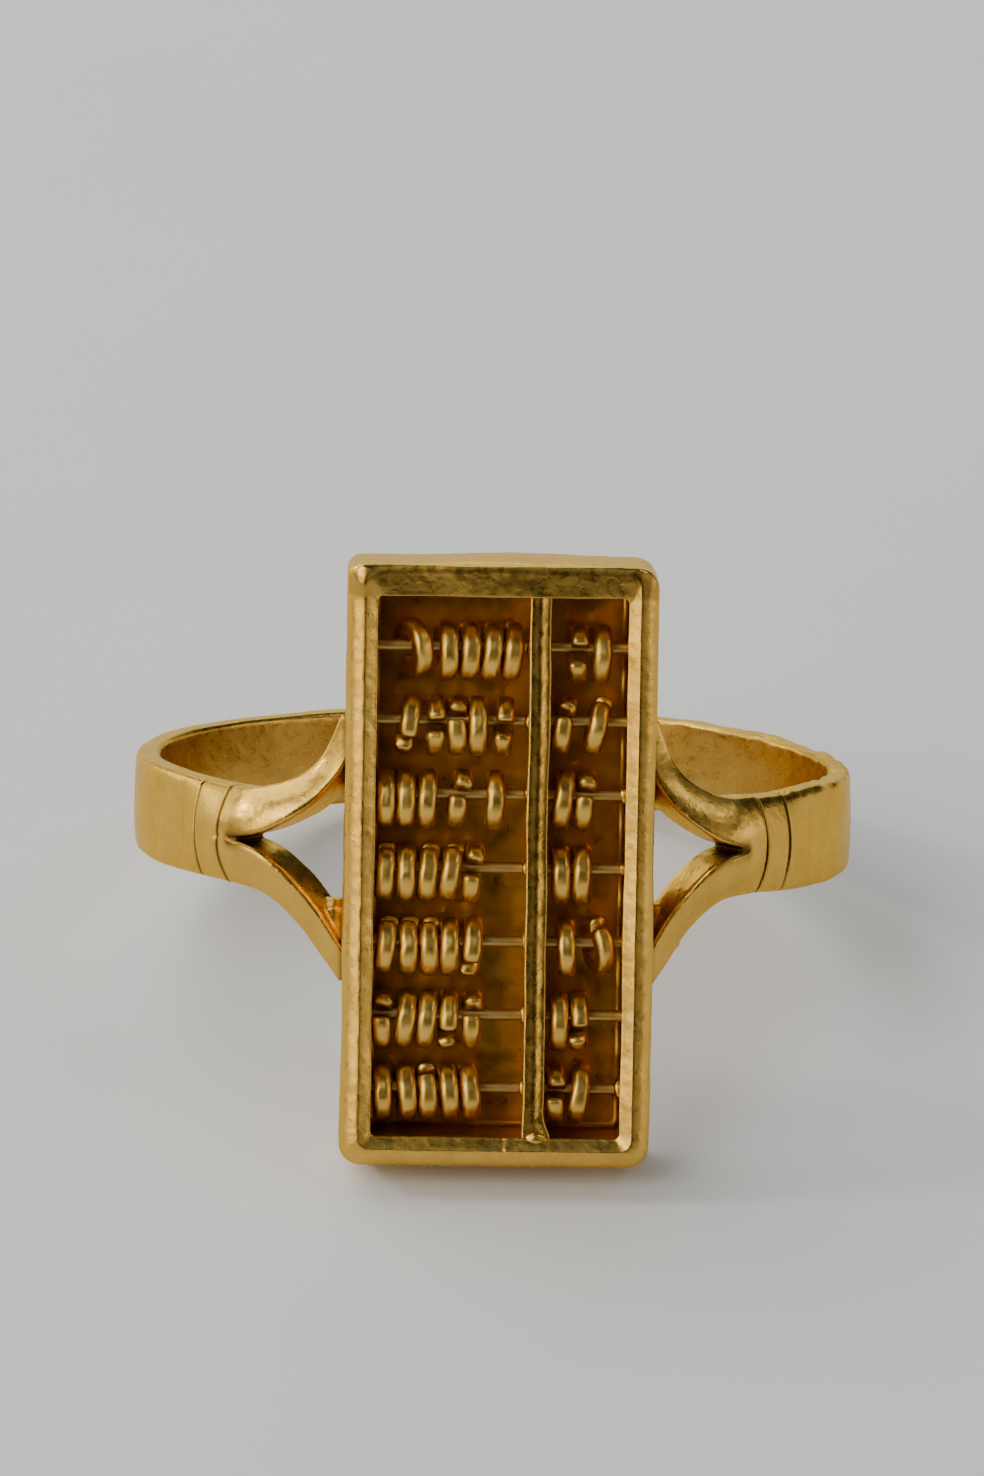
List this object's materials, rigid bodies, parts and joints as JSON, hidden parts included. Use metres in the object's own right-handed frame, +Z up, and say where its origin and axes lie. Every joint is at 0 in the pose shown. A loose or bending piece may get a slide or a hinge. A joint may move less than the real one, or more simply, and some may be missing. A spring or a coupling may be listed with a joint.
{
  "type": "abacus ring",
  "caption": "Gold finger ring whose tray head is a small abacus with sliding wire beads, on a hoop with forked shoulders.",
  "frame": {"origin": "middle of the bottom of the ring's box, on the surface it lies on", "axes": "+Z up from the surface, +X along the rods towards the two-bead deck, -Y towards the open front of the head; the ring leans back about 22 degrees, as it lies by itself on the head's lower back edge and the band's lower edge"},
  "size_m": [0.0208, 0.0232, 0.0167],
  "materials": {
    "body_gold": "satin hand-worked gold, softly polished, with pits and fine scratches",
    "rod_gold": "drawn gold wire, dull and a little darker",
    "bead_gold": "half round gold wire, softly polished on its crest"
  },
  "bodies": {
    "ring": {"ring_body": "body_gold", "rod_1": "rod_gold", "rod_2": "rod_gold", "rod_3": "rod_gold", "rod_4": "rod_gold", "rod_5": "rod_gold", "rod_6": "rod_gold", "rod_7": "rod_gold"},
    "five_beads_1_group": {"five_beads_1": "bead_gold"},
    "five_beads_2_group": {"five_beads_2": "bead_gold"},
    "five_beads_3_group": {"five_beads_3": "bead_gold"},
    "five_beads_4_group": {"five_beads_4": "bead_gold"},
    "five_beads_5_group": {"five_beads_5": "bead_gold"},
    "five_beads_6_group": {"five_beads_6": "bead_gold"},
    "five_beads_7_group": {"five_beads_7": "bead_gold"},
    "two_beads_1_group": {"two_beads_1": "bead_gold"},
    "two_beads_2_group": {"two_beads_2": "bead_gold"},
    "two_beads_3_group": {"two_beads_3": "bead_gold"},
    "two_beads_4_group": {"two_beads_4": "bead_gold"},
    "two_beads_5_group": {"two_beads_5": "bead_gold"},
    "two_beads_6_group": {"two_beads_6": "bead_gold"},
    "two_beads_7_group": {"two_beads_7": "bead_gold"}
  },
  "joints": [
    {"name": "five_beads_1_slide", "type": "slide", "parent": "ring", "child": "five_beads_1_group", "axis": [1, 0, 0], "range_m": [-0.00041, 0.00003]},
    {"name": "five_beads_2_slide", "type": "slide", "parent": "ring", "child": "five_beads_2_group", "axis": [1, 0, 0], "range_m": [-0.000512, 0.000273]},
    {"name": "five_beads_3_slide", "type": "slide", "parent": "ring", "child": "five_beads_3_group", "axis": [1, 0, 0], "range_m": [-0.00005, 0.000501]},
    {"name": "five_beads_4_slide", "type": "slide", "parent": "ring", "child": "five_beads_4_group", "axis": [1, 0, 0], "range_m": [-0.00003, 0.00104]},
    {"name": "five_beads_5_slide", "type": "slide", "parent": "ring", "child": "five_beads_5_group", "axis": [1, 0, 0], "range_m": [-0.00003, 0.00107]},
    {"name": "five_beads_6_slide", "type": "slide", "parent": "ring", "child": "five_beads_6_group", "axis": [1, 0, 0], "range_m": [-0.00005, 0.00109]},
    {"name": "five_beads_7_slide", "type": "slide", "parent": "ring", "child": "five_beads_7_group", "axis": [1, 0, 0], "range_m": [-0.00006, 0.00104]},
    {"name": "two_beads_1_slide", "type": "slide", "parent": "ring", "child": "two_beads_1_group", "axis": [1, 0, 0], "range_m": [-0.000549, 0.000413]},
    {"name": "two_beads_2_slide", "type": "slide", "parent": "ring", "child": "two_beads_2_group", "axis": [1, 0, 0], "range_m": [-0.00003, 0.000373]},
    {"name": "two_beads_3_slide", "type": "slide", "parent": "ring", "child": "two_beads_3_group", "axis": [1, 0, 0], "range_m": [-0.000072, 0.000792]},
    {"name": "two_beads_4_slide", "type": "slide", "parent": "ring", "child": "two_beads_4_group", "axis": [1, 0, 0], "range_m": [-0.00015, 0.00089]},
    {"name": "two_beads_5_slide", "type": "slide", "parent": "ring", "child": "two_beads_5_group", "axis": [1, 0, 0], "range_m": [-0.000327, 0.000133]},
    {"name": "two_beads_6_slide", "type": "slide", "parent": "ring", "child": "two_beads_6_group", "axis": [1, 0, 0], "range_m": [-0.00018, 0.00091]},
    {"name": "two_beads_7_slide", "type": "slide", "parent": "ring", "child": "two_beads_7_group", "axis": [1, 0, 0], "range_m": [-0.000117, 0.000775]}
  ]
}
